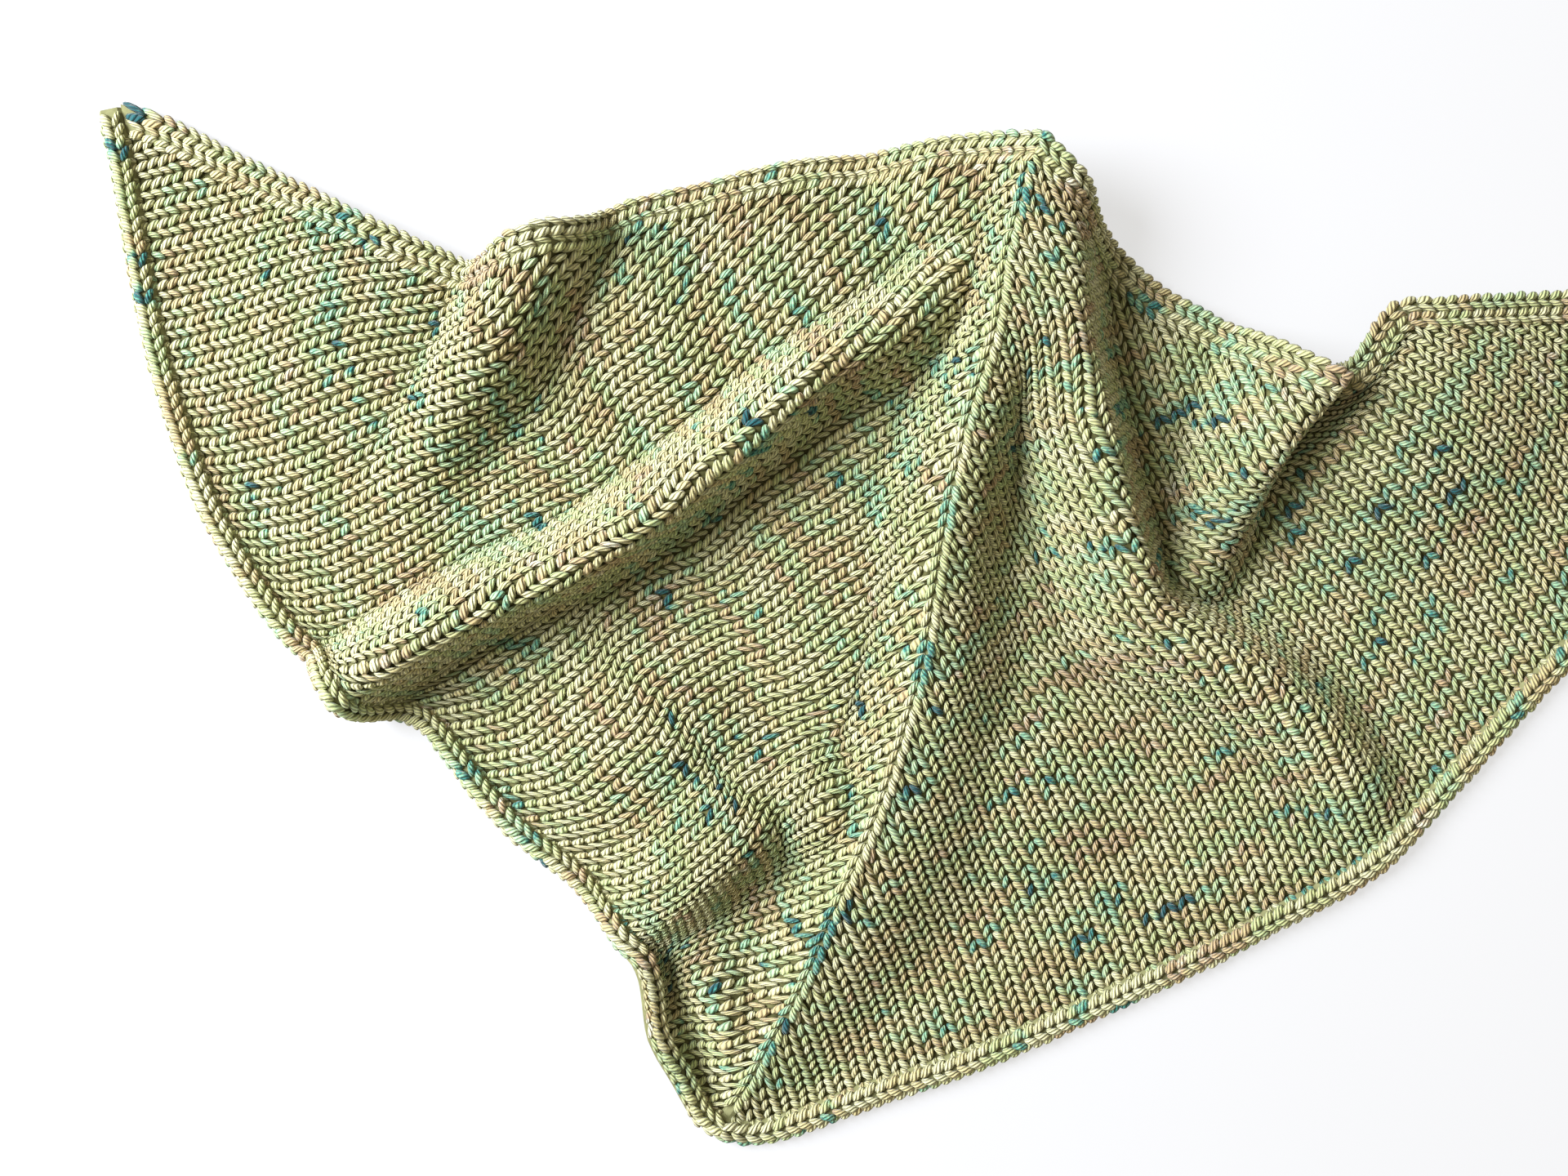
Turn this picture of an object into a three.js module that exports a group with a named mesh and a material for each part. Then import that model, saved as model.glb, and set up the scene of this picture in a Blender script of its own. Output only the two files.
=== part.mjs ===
// A hand-knitted triangular kerchief, laid down loosely so that it rests on the table in folds.
// Two mirrored halves meet at a raised spine. A wide knitted border runs along the neck edge
// and a round corded bind-off along both lower edges.
// Millimetres, +Z up. +X runs toward the right wing, +Y toward the neck edge, z = 0 is the table.

import * as THREE from 'three';

// Knitting gauge, from which the sizes in the tables below were scaled.
const STITCH_WIDTH = 5.6;
const ROW_HEIGHT = 2.9;

// Driving sizes of the pieces.
const WALL = 2.4;
const SEAM_GAP = 0.9;
const NECK_WIDTH = 9.2;
const NECK_THICK = 4.2;
const CORD_WIDTH = 6.6;
const CORD_THICK = 5.0;
const SPINE_HALF = 2.5;
const SPINE_THICK = 3.3;
const TIP_ANGLE = THREE.MathUtils.degToRad(51);

// Depth of one half from the neck centre to its lower edge: 76 rows.
const HALF_DEPTH = 76 * ROW_HEIGHT;
// Along the lower edge one half is 70 stitches long.
const LOWER_EDGE = 70 * STITCH_WIDTH;
// Rows of a half meet the spine at this angle.
const ROW_TO_SPINE = THREE.MathUtils.degToRad(46);

// How finely the pieces are divided.
const PANEL_ROWS = 38;
const PANEL_CELLS = 70;
const FIRST_ROW = 0.03;
const NET = 60;
const EVENING_ROUNDS = 6;
const CURVE_STEPS = 8;
const NORMAL_REACH = 3;

// Moves the tables' frame so that the finished part is centred over the origin.
const CENTRE_X = 4.5;
const CENTRE_Y = 3.4;

// Corners of the knitted panels. Columns: x, y.
const NECK_CENTRE = [19, 128];
const BOTTOM_CORNER = [-66, -143];
const LEFT_WINGTIP = [-238, 144];
const RIGHT_WINGTIP = [243, 81];

// Spine from the neck centre down to the bottom corner. Columns: x, y.
const SPINE = [
  NECK_CENTRE, [14, 106], [11, 84], [3, 57], [-4, 25], [-9, -8],
  [-15, -31], [-23, -56], [-33, -78], [-43, -102], [-58, -130], BOTTOM_CORNER,
];

// Outer outlines, read from the photo and scaled. Columns: x, y.
const NECK_LEFT = [
  [2, 140], [-21, 137.5], [-45, 135.5], [-68, 130], [-80, 127], [-92, 124], [-103, 120],
  [-114, 116], [-122, 113], [-130, 109], [-138, 105], [-148, 109], [-164, 116], [-188, 128],
  [-212, 140], [-227, 148],
];
const NECK_RIGHT = [
  [34, 125], [48, 111], [60, 100], [73, 92], [85, 85], [95, 79], [103, 77], [109, 75], [124, 92],
  [137, 94], [147, 95], [171, 97], [190, 98], [209, 96], [228, 93],
];
const LOWER_LEFT = [
  [-76, -145], [-84, -133], [-91, -121], [-93, -111], [-95, -100], [-102, -87], [-114, -74],
  [-129, -63], [-140, -51], [-149, -39], [-156, -30], [-165, -27], [-171, -28], [-177, -23],
  [-182, -16], [-194, -7], [-205, 7], [-220, 32], [-229, 56], [-236, 80], [-241, 104], [-247, 139],
];
const LOWER_RIGHT = [
  [-52, -151], [-21, -140], [3, -132], [27, -122], [51, -111], [75, -100], [99, -87], [123, -74],
  [145, -52], [167, -27], [183, -10], [202, 12], [221, 37], [235, 59],
];

// Folds. Each row is a place on the crest. Columns: x, y, crest height, width of the gentle side,
// width of the steep side, overhang of the crest toward the steep side.
// steep is +1 where the steep side lies left of the crest's own run, -1 where it lies right.
const FOLDS = [
  {
    name: 'spine ridge', steep: 1,
    crest: [
      [22, 147, 22, 22, 40, 0], [19, 129, 22, 20, 40, 0], [15, 106, 22, 15, 36, 0],
      [12, 84, 22, 18, 26, 0], [5, 57, 19, 23, 18, 0], [-3, 25, 17, 26, 22, 0],
      [-8, -8, 16, 24, 32, 0], [-14, -31, 16, 20, 40, 0], [-22, -56, 15, 18, 44, 0],
      [-32, -78, 13, 20, 38, 0], [-43, -102, 9, 19, 30, 0], [-58, -129, 4, 15, 18, 0],
      [-66, -143, 2, 12, 8, 0],
    ],
  },
  {
    name: 'left shoulder fold', steep: 1,
    crest: [
      [-112, 128, 22, 24, 22, 0], [-118, 108, 22, 24, 21, 0], [-128, 90, 20, 24, 20, 0],
      [-138, 74, 17, 23, 20, 0], [-148, 60, 13, 22, 19, 0], [-156, 48, 8, 20, 19, 0],
      [-165, 36, 3, 18, 20, 0], [-173, 28, 0, 18, 20, 0],
    ],
  },
  {
    name: 'long left fold', steep: -1,
    crest: [
      [-194, -34, 16, 12, 17, 4], [-172, -17, 20, 11, 17, 5], [-153, -5, 22, 10, 17, 6],
      [-131, 7, 22, 10, 17, 6], [-108, 17, 22, 10, 17, 6], [-85, 33, 22, 10, 17, 6],
      [-63, 50, 22, 11, 17, 6], [-40, 72, 21, 12, 18, 4], [-20, 85, 19, 15, 20, 2],
      [-4, 99, 15, 18, 22, 0], [12, 118, 10, 20, 22, 0],
    ],
  },
  {
    name: 'middle right fold', steep: 1,
    crest: [
      [25, 145, 24, 36, 24, 0], [26, 129, 25, 36, 22, 1], [29, 106, 25, 32, 21, 3],
      [31, 80, 24, 26, 20, 3], [37, 59, 23, 21, 19, 3], [43, 36, 21, 20, 18, 3],
      [50, 15, 20, 21, 18, 3], [57, 3, 18, 23, 18, 2], [72, -8, 18, 19, 19, 1],
      [88, -18, 16, 18, 19, 0], [106, -33, 12, 17, 18, 0], [118, -48, 7, 16, 16, 0],
      [126, -59, 1, 20, 14, 0],
    ],
  },
  {
    name: 'right shoulder fold', steep: 1,
    crest: [
      [118, 91, 24, 27, 17, 11], [109, 74, 25, 27, 17, 10], [100, 64, 24, 25, 17, 9],
      [91, 53, 22, 20, 16, 7], [84, 40, 18, 16, 15, 5], [77, 27, 13, 14, 14, 2],
      [70, 14, 8, 15, 14, 0], [60, 4, 3, 16, 14, 0],
    ],
  },
  {
    name: 'low left fold', steep: -1,
    crest: [
      [-99, -93, 2, 16, 9, 0], [-88, -83, 8, 22, 13, 0], [-77, -74, 13, 26, 16, 0],
      [-67, -65, 14, 28, 17, 1], [-59, -58, 12, 28, 17, 0], [-53, -51, 6, 26, 16, 0],
      [-48, -45, 2, 22, 14, 0],
    ],
  },
  {
    name: 'bottom tip fold', steep: -1,
    crest: [
      [-77, -90, 0, 12, 10, 0], [-72, -101, 4, 13, 11, 0], [-67, -113, 6, 13, 10, 0],
      [-63, -130, 4, 10, 10, 0],
    ],
  },
  {
    name: 'raised lower edge', steep: 1,
    crest: [
      [-106, -79, 1, 8, 8, 0], [-93, -94, 6, 8, 9, 0], [-90, -110, 7, 8, 9, 0],
      [-85, -124, 6, 8, 9, 0], [-75, -142, 3, 8, 8, 0],
    ],
  },
];

// Low swells between the folds. Columns: x, y, reach along x, reach along y, height.
const SWELLS = [
  [-87, 96, 41, 46, 7], [-49, 102, 58, 46, 8], [-176, 90, 56, 60, 9], [-92, -30, 42, 36, 7],
  [-37, 1, 36, 44, 4], [-39, -53, 24, 22, 12], [14, -46, 48, 46, 5], [86, -72, 40, 24, 1.5],
  [134, 62, 66, 56, 12], [76, 79, 34, 29, 3], [55, 110, 26, 26, 2], [0, 124, 34, 26, 16],
];
const BLEND = 4;

// Smooth curve through rows of any number of columns.
function smoothRows(rows) {
  const count = rows.length;
  const mirrored = (a, b) => a.map((value, k) => 2 * value - b[k]);
  const all = [mirrored(rows[0], rows[1]), ...rows, mirrored(rows[count - 1], rows[count - 2])];
  const out = [];
  for (let i = 1; i < count; i += 1) {
    const [a, b, c, d] = [all[i - 1], all[i], all[i + 1], all[i + 2]];
    for (let step = 0; step < CURVE_STEPS; step += 1) {
      const s = step / CURVE_STEPS;
      out.push(b.map((_, k) => 0.5 * (2 * b[k] + (c[k] - a[k]) * s
        + (2 * a[k] - 5 * b[k] + 4 * c[k] - d[k]) * s * s
        + (3 * b[k] - a[k] - 3 * c[k] + d[k]) * s * s * s)));
    }
  }
  out.push(rows[count - 1].slice());
  return out;
}

// Unit run of a polyline at each of its points, in plan.
function planRuns(points) {
  return points.map((_, i) => {
    const before = points[Math.max(i - 1, 0)];
    const after = points[Math.min(i + 1, points.length - 1)];
    const dx = after[0] - before[0];
    const dy = after[1] - before[1];
    const length = Math.hypot(dx, dy);
    return [dx / length, dy / length];
  });
}

// Moves an outline sideways: side +1 to the left of its run, -1 to the right.
function movedIn(points, distance, side) {
  const runs = planRuns(points);
  return points.map(([x, y], i) => [
    x - runs[i][1] * distance * side,
    y + runs[i][0] * distance * side,
  ]);
}

// Crest lines, drawn back by their overhang so that the lean brings the crest to its table place.
const CRESTS = FOLDS.map(({ steep, crest }) => {
  const rows = smoothRows(crest);
  const runs = planRuns(rows);
  const line = rows.map(([x, y, height, gentle, sharp, lean], i) => [
    x + runs[i][1] * lean * steep,
    y - runs[i][0] * lean * steep,
    Math.max(height, 0), gentle, sharp, Math.max(lean, 0),
  ]);
  return { steep, line };
});

// Height and lean that one fold gives at a place in plan.
function foldAt({ steep, line }, x, y) {
  let best = Infinity;
  let at = 0;
  let along = 0;
  for (let i = 0; i < line.length - 1; i += 1) {
    const ex = line[i + 1][0] - line[i][0];
    const ey = line[i + 1][1] - line[i][1];
    const px = x - line[i][0];
    const py = y - line[i][1];
    const t = THREE.MathUtils.clamp((px * ex + py * ey) / (ex * ex + ey * ey), 0, 1);
    const distance = Math.hypot(px - t * ex, py - t * ey);
    if (distance < best) {
      best = distance;
      at = i;
      along = t;
    }
  }
  const row = line[at].map((value, k) => THREE.MathUtils.lerp(value, line[at + 1][k], along));
  const [footX, footY, height, gentle, sharp, lean] = row;
  let ex = line[at + 1][0] - line[at][0];
  let ey = line[at + 1][1] - line[at][1];
  const length = Math.hypot(ex, ey);
  ex /= length;
  ey /= length;
  const onSteep = (ex * (y - footY) - ey * (x - footX)) * steep > 0;
  const reach = Math.min(best / (onSteep ? sharp : gentle), 1);
  const rise = 0.5 * (1 + Math.cos(Math.PI * reach));
  const shift = lean * rise * rise * steep;
  return { height: height * rise, shiftX: -ey * shift, shiftY: ex * shift };
}

// Underside of the laid cloth over a place in plan: folds and swells blended by their heights.
function clothAt(x, y) {
  const parts = CRESTS.map((fold) => foldAt(fold, x, y));
  for (const [cx, cy, reachX, reachY, height] of SWELLS) {
    const far = Math.min(Math.hypot((x - cx) / reachX, (y - cy) / reachY), 1);
    parts.push({ height: height * 0.5 * (1 + Math.cos(Math.PI * far)), shiftX: 0, shiftY: 0 });
  }
  const sum = parts.reduce((total, part) => total + part.height ** BLEND, 0);
  const height = sum ** (1 / BLEND);
  const out = new THREE.Vector3(x, y, height);
  if (sum > 1e-6) {
    for (const part of parts) {
      const share = part.height ** BLEND / sum;
      out.x += part.shiftX * share;
      out.y += part.shiftY * share;
    }
  }
  return out;
}

// Upward normal of the cloth, taken over a short reach so that tight hollows stay smooth.
function normalAt(x, y) {
  const h = NORMAL_REACH;
  const alongX = clothAt(x + h, y).sub(clothAt(x - h, y));
  const alongY = clothAt(x, y + h).sub(clothAt(x, y - h));
  return alongX.cross(alongY).normalize();
}

// Points of a polyline at even shares of its length, measured on the cloth.
function evened(points, shares) {
  const placed = points.map(([x, y]) => clothAt(x, y));
  const travelled = [0];
  for (let i = 1; i < placed.length; i += 1) {
    travelled.push(travelled[i - 1] + placed[i].distanceTo(placed[i - 1]));
  }
  const total = travelled[travelled.length - 1];
  let k = 0;
  return shares.map((share) => {
    const wanted = share * total;
    while (k < travelled.length - 2 && travelled[k + 1] < wanted) k += 1;
    const span = travelled[k + 1] - travelled[k];
    const t = span > 0 ? (wanted - travelled[k]) / span : 0;
    return [
      THREE.MathUtils.lerp(points[k][0], points[k + 1][0], t),
      THREE.MathUtils.lerp(points[k][1], points[k + 1][1], t),
    ];
  });
}

// Net of one half in plan. It runs from the spine (0) to the neck edge (1) across, and from the
// neck centre (0) to the lower edge (1) down. Every thread of it is evened, as knitting is.
function knittedNet(spine, neck, lower) {
  const shares = Array.from({ length: NET + 1 }, (_, i) => i / NET);
  const spineLine = evened(smoothRows(spine), shares);
  const neckLine = evened(smoothRows(neck), shares);
  const lowerLine = evened(smoothRows(lower), shares);
  const net = shares.map((down, i) => shares.map((across, j) => [0, 1].map((k) => {
    const straight = THREE.MathUtils.lerp(spineLine[i][k], neckLine[i][k], across);
    const chord = THREE.MathUtils.lerp(spineLine[NET][k], neckLine[NET][k], across);
    return straight + down * (lowerLine[j][k] - chord);
  })));
  for (let round = 0; round < EVENING_ROUNDS; round += 1) {
    for (let i = 1; i <= NET; i += 1) net[i] = evened(net[i], shares);
    for (let j = 0; j <= NET; j += 1) {
      evened(net.map((row) => row[j]), shares).forEach((place, i) => { net[i][j] = place; });
    }
  }
  return net;
}

// Place in plan at a share down and across one half.
function planAt(net, down, across) {
  const v = THREE.MathUtils.clamp(down * NET, 0, NET - 1e-6);
  const u = THREE.MathUtils.clamp(across * NET, 0, NET - 1e-6);
  const i = Math.floor(v);
  const j = Math.floor(u);
  return [0, 1].map((k) => THREE.MathUtils.lerp(
    THREE.MathUtils.lerp(net[i][j][k], net[i][j + 1][k], u - j),
    THREE.MathUtils.lerp(net[i + 1][j][k], net[i + 1][j + 1][k], u - j),
    v - i,
  ));
}

// One knot of a piece: the cloth's underside and its normal.
function knotAt(net, down, across) {
  const [x, y] = planAt(net, down, across);
  return { point: clothAt(x, y), normal: normalAt(x, y) };
}

// Run of the spine at a share down a half.
function spineRun(net, down) {
  const [x1, y1] = planAt(net, Math.max(down - 0.01, 0), 0);
  const [x2, y2] = planAt(net, Math.min(down + 0.01, 1), 0);
  return clothAt(x2, y2).sub(clothAt(x1, y1)).normalize();
}

// Part of a step that lies square to the spine.
function squareTo(run, from, to) {
  const step = to.clone().sub(from);
  return step.addScaledVector(run, -step.dot(run));
}

// Share across a row where the spine's strip ends and the panel starts.
function spineShare(net, down) {
  const run = spineRun(net, down);
  const middle = clothAt(...planAt(net, down, 0));
  const wanted = SPINE_HALF + SEAM_GAP;
  const stride = 0.4 / (LOWER_EDGE * down);
  let reached = 0;
  for (let across = stride; across < 0.5; across += stride) {
    const distance = squareTo(run, middle, clothAt(...planAt(net, down, across))).length();
    if (distance >= wanted) {
      return across - stride * (distance - wanted) / (distance - reached);
    }
    reached = distance;
  }
  return 0.5;
}

const DOWNS = Array.from({ length: PANEL_ROWS + 1 }, (_, i) => (
  FIRST_ROW + (1 - FIRST_ROW) * (i / PANEL_ROWS)
));

// Rows of knots of one half, each with as many cells as its length needs.
function panelRows(net) {
  return DOWNS.map((down) => {
    const cells = Math.max(3, Math.round(PANEL_CELLS * down));
    const start = spineShare(net, down);
    return Array.from({ length: cells + 1 }, (_, j) => (
      knotAt(net, down, start + (1 - start) * (j / cells))
    ));
  });
}

// Closed mesh from vertices and triangles.
function solid(name, points, faces, material) {
  const geometry = new THREE.BufferGeometry();
  const flat = points.flatMap((p) => [p.x - CENTRE_X, p.y - CENTRE_Y, Math.max(p.z, 0)]);
  geometry.setAttribute('position', new THREE.Float32BufferAttribute(flat, 3));
  geometry.setIndex(faces.flat());
  geometry.computeVertexNormals();
  const mesh = new THREE.Mesh(geometry, material);
  mesh.name = name;
  return mesh;
}

// Between two rows of knots, tells whether the shorter diagonal leads on along the next row.
// Neither row may run ahead of the other by more than a cell.
function nearerNext(row, nextRow, a, b) {
  const ahead = b / (nextRow.length - 1) - a / (row.length - 1);
  if (Math.abs(ahead) * nextRow.length > 1.2) return ahead < 0;
  return row[a].point.distanceTo(nextRow[b + 1].point)
    < row[a + 1].point.distanceTo(nextRow[b].point);
}

// Knitted wall of one half: underside, top and the rim between them.
function panel(name, rows, turned, material) {
  const knots = rows.flat();
  const lower = knots.map(({ point }) => point);
  const upper = knots.map(({ point, normal }) => point.clone().addScaledVector(normal, WALL));
  const starts = [];
  rows.reduce((total, row) => {
    starts.push(total);
    return total + row.length;
  }, 0);
  const faces = [];
  const top = lower.length;
  const addFace = (a, b, c) => {
    const [p, q, r] = turned ? [a, c, b] : [a, b, c];
    faces.push([top + p, top + q, top + r], [p, r, q]);
  };
  for (let i = 0; i < rows.length - 1; i += 1) {
    const here = rows[i].length - 1;
    const next = rows[i + 1].length - 1;
    let a = 0;
    let b = 0;
    while (a < here || b < next) {
      const stepNext = a === here || (b < next && nearerNext(rows[i], rows[i + 1], a, b));
      if (stepNext) {
        addFace(starts[i] + a, starts[i + 1] + b, starts[i + 1] + b + 1);
        b += 1;
      } else {
        addFace(starts[i] + a, starts[i + 1] + b, starts[i] + a + 1);
        a += 1;
      }
    }
  }
  const last = rows.length - 1;
  const rim = [
    ...rows.map((_, i) => starts[i]),
    ...rows[last].map((_, j) => starts[last] + j).slice(1),
    ...rows.map((row, i) => starts[i] + row.length - 1).reverse().slice(1),
    ...rows[0].map((_, j) => j).reverse().slice(1, -1),
  ];
  rim.forEach((p, k) => {
    const q = rim[(k + 1) % rim.length];
    const [from, to] = turned ? [q, p] : [p, q];
    faces.push([from, to, top + to], [from, top + to, top + from]);
  });
  return solid(name, [...lower, ...upper], faces, material);
}

// Solid through a run of rings that all have the same number of points.
function ringSolid(name, rings, turned, material) {
  const sides = rings[0].length;
  const faces = [];
  const add = (a, b, c) => faces.push(turned ? [a, c, b] : [a, b, c]);
  for (let i = 0; i < rings.length - 1; i += 1) {
    for (let k = 0; k < sides; k += 1) {
      const m = (k + 1) % sides;
      const here = i * sides;
      const next = here + sides;
      add(here + k, here + m, next + m);
      add(here + k, next + m, next + k);
    }
  }
  const end = (rings.length - 1) * sides;
  for (let k = 1; k < sides - 1; k += 1) {
    add(0, k + 1, k);
    add(end, end + k, end + k + 1);
  }
  return solid(name, rings.flat(), faces, material);
}

// Cross-section of a border: flat below, rounded above. Columns: share of width, share of thickness.
const BORDER_SECTION = [
  [0.12, 0], [0.88, 0], [1, 0.22], [1, 0.7], [0.8, 1], [0.2, 1], [0, 0.7], [0, 0.22],
];

// Ring of a border beside an edge knot. The seam side follows the panel's own edge, and the
// free side its evened directions.
function borderRing({ point, seam, out, upright, normal, stretch = 1 }, width, thick) {
  return BORDER_SECTION.map(([across, up]) => point.clone()
    .addScaledVector(seam, SEAM_GAP * stretch)
    .addScaledVector(out, width * across * stretch)
    .addScaledVector(upright.clone().lerp(normal, across).normalize(), thick * up));
}

// Gives each knot of an edge its outward direction, evened along the edge.
function withOutward(knots, side, rounds) {
  let outs = knots.map(({ normal }, i) => {
    const before = knots[Math.max(i - 1, 0)].point;
    const after = knots[Math.min(i + 1, knots.length - 1)].point;
    const run = after.clone().sub(before);
    return run.cross(normal).multiplyScalar(side).normalize();
  });
  const seams = outs;
  let normals = knots.map(({ normal }) => normal.clone());
  const average = (list) => list.map((v, i) => v.clone().multiplyScalar(2)
    .add(list[Math.max(i - 1, 0)]).add(list[Math.min(i + 1, list.length - 1)]).normalize());
  for (let round = 0; round < rounds; round += 1) {
    outs = average(outs);
    normals = average(normals);
  }
  return knots.map((knot, i) => ({
    point: knot.point, seam: seams[i], out: outs[i], upright: knot.normal, normal: normals[i],
  }));
}

// Knitting yarn, as a plain colour for the solids.
const yarn = (name, colour) => new THREE.MeshStandardMaterial({
  name, color: colour, roughness: 0.95, metalness: 0,
});
const fieldYarn = yarn('field yarn', '#a3ab7c');
const spineYarn = yarn('spine yarn', '#b9c79b');
const neckYarn = yarn('neck yarn', '#9da679');
const cordYarn = yarn('cord yarn', '#b2bb8c');

const leftNet = knittedNet(
  SPINE,
  [NECK_CENTRE, ...movedIn(NECK_LEFT, NECK_WIDTH + SEAM_GAP, 1), LEFT_WINGTIP],
  [BOTTOM_CORNER, ...movedIn(LOWER_LEFT, CORD_WIDTH + SEAM_GAP, -1), LEFT_WINGTIP],
);
const rightNet = knittedNet(
  SPINE,
  [NECK_CENTRE, ...movedIn(NECK_RIGHT, NECK_WIDTH + SEAM_GAP, -1), RIGHT_WINGTIP],
  [BOTTOM_CORNER, ...movedIn(LOWER_RIGHT, CORD_WIDTH + SEAM_GAP, 1), RIGHT_WINGTIP],
);
const leftRows = panelRows(leftNet);
const rightRows = panelRows(rightNet);

// Spine strip: it follows the ridge between the two halves and stands a little above them.
const SPINE_START = 0.012;
const SPINE_END = 1 - 3.4 / (HALF_DEPTH / Math.sin(ROW_TO_SPINE));
function spineRing(down) {
  const middle = knotAt(leftNet, down, 0);
  const run = spineRun(leftNet, down);
  const sides = [leftNet, rightNet].map((net) => {
    const { point, normal } = knotAt(net, down, spineShare(net, down));
    const away = squareTo(run, middle.point, point).normalize();
    const foot = middle.point.clone().addScaledVector(away, SPINE_HALF);
    return { foot, away, normal };
  });
  const raised = (side, share, up) => middle.point.clone()
    .addScaledVector(side.away, SPINE_HALF * share)
    .addScaledVector(side.normal, up * share)
    .addScaledVector(middle.normal, up * (1 - share));
  const [left, right] = sides;
  return [
    left.foot, middle.point, right.foot,
    right.foot.clone().addScaledVector(right.normal, WALL),
    raised(right, 0.5, SPINE_THICK), raised(left, 0.5, SPINE_THICK),
    left.foot.clone().addScaledVector(left.normal, WALL),
  ];
}
const spineDowns = [SPINE_START, ...DOWNS.slice(0, -1), SPINE_END];

// Neck border: one strip from wingtip to wingtip over the neck centre. Its ends are cut along
// the lower edges, so that they butt against the bind-off.
const neckRuns = [
  ...leftRows.map((row) => row[row.length - 1]).reverse(),
  knotAt(leftNet, 0, 1),
  ...rightRows.map((row) => row[row.length - 1]),
];
const neckKnots = withOutward(neckRuns, -1, 2);
function cutAlong(knot, beyond) {
  const cut = knot;
  cut.seam = beyond.clone();
  cut.out = beyond.clone();
  cut.stretch = 1 / Math.sin(TIP_ANGLE);
}

// Bind-off: one cord from wingtip to wingtip round the bottom corner.
const cordRuns = [
  ...leftRows[PANEL_ROWS].slice().reverse(),
  knotAt(leftNet, 1, 0),
  ...rightRows[PANEL_ROWS],
];
const cordKnots = withOutward(cordRuns, 1, 2);

// Carries the cord past a wingtip by the width of the neck border.
const TIP_STEPS = [4, 8, 12.5];
const TIP_SCALES = [1, 0.96, 0.6];
function beyondTip(knots, tip, before) {
  const run = knots[tip].point.clone().sub(knots[before].point).normalize();
  const rings = TIP_STEPS.map((step, k) => {
    const ring = borderRing(knots[tip], CORD_WIDTH, CORD_THICK);
    const middle = ring.reduce((sum, p) => sum.add(p), new THREE.Vector3())
      .divideScalar(ring.length);
    middle.z = 0;
    return ring.map((p) => middle.clone().lerp(p, TIP_SCALES[k]).addScaledVector(run, step));
  });
  return { run, rings };
}
const lastCord = cordKnots.length - 1;
const leftEnd = beyondTip(cordKnots, 0, 2);
const rightEnd = beyondTip(cordKnots, lastCord, lastCord - 2);
cutAlong(neckKnots[0], leftEnd.run);
cutAlong(neckKnots[neckKnots.length - 1], rightEnd.run);

const cordRings = [
  ...leftEnd.rings.slice().reverse(),
  ...cordKnots.map((knot) => borderRing(knot, CORD_WIDTH, CORD_THICK)),
  ...rightEnd.rings,
];

const kerchief = new THREE.Group();
kerchief.add(
  panel('left_half', leftRows, true, fieldYarn),
  panel('right_half', rightRows, false, fieldYarn),
  ringSolid('spine_column', spineDowns.map(spineRing), false, spineYarn),
  ringSolid('neck_edge', neckKnots.map((knot) => borderRing(knot, NECK_WIDTH, NECK_THICK)), false, neckYarn),
  ringSolid('bind_off', cordRings, true, cordYarn),
);

export default kerchief;
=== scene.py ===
# %% [markdown]
# # A hand-knitted kerchief, lying in soft folds
#
# The real object is one triangular piece of plain knitting in a hand-dyed green wool. It was
# knitted from the middle of its neck edge outward, in two mirrored halves that meet at a raised
# spine. A band of two stitch columns follows the neck edge and a knitted cord finishes the two
# lower edges. It lies loosely on a white table, so the cloth stands up in a few rounded folds.
#
# We build it the way it was made. First comes the laid surface of the cloth, then a map that
# tells where each stitch lies on it, and then every stitch, as two small yarn legs.

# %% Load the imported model
import math
import bmesh
import bpy
import numpy as np
from mathutils import Matrix


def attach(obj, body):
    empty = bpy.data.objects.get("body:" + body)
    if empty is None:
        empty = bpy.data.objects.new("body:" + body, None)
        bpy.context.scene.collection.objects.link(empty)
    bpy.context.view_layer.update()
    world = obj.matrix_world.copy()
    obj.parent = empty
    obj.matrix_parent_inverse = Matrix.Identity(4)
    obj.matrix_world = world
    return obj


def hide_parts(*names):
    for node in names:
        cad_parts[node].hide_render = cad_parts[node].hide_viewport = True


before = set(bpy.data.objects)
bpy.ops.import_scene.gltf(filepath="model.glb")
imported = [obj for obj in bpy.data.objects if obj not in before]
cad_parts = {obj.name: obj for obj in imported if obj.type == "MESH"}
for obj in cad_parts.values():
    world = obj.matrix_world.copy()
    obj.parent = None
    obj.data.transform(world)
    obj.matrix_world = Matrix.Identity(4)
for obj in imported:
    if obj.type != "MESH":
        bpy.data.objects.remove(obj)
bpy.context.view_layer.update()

# %% [markdown]
# ## Camera
#
# The picture was taken from straight above. A camera object looks along its own -Z axis, so an
# unturned camera already looks down, with +Y up in the picture. A 35 mm lens at 448 mm above
# the table takes in 461 mm of table, which is the width that the knitting gauge gives.

# %% Camera over the table
overhead = bpy.data.cameras.new("overhead")
overhead.lens = 35
overhead.sensor_width = 36
camera = bpy.data.objects.new("overhead", overhead)
camera.location = (-0.0537, 0.0074, 0.448)
bpy.context.collection.objects.link(camera)
bpy.context.scene.camera = camera
bpy.context.scene.view_settings.view_transform = "Standard"
print("camera height, mm:", round(camera.location.z * 1000))

# %% [markdown]
# ## Sizes and tables
#
# The knitting gauge sets the scale: a stitch column is 5.6 mm wide and a row 2.9 mm high. The
# tables are in millimetres on the table top. The solids were made from the same folds and
# outlines, so that the stitches lie where the solid cloth lies. Only one swell of the right
# half, the wingtips and the width of the seams are a few millimetres different here.

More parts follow.
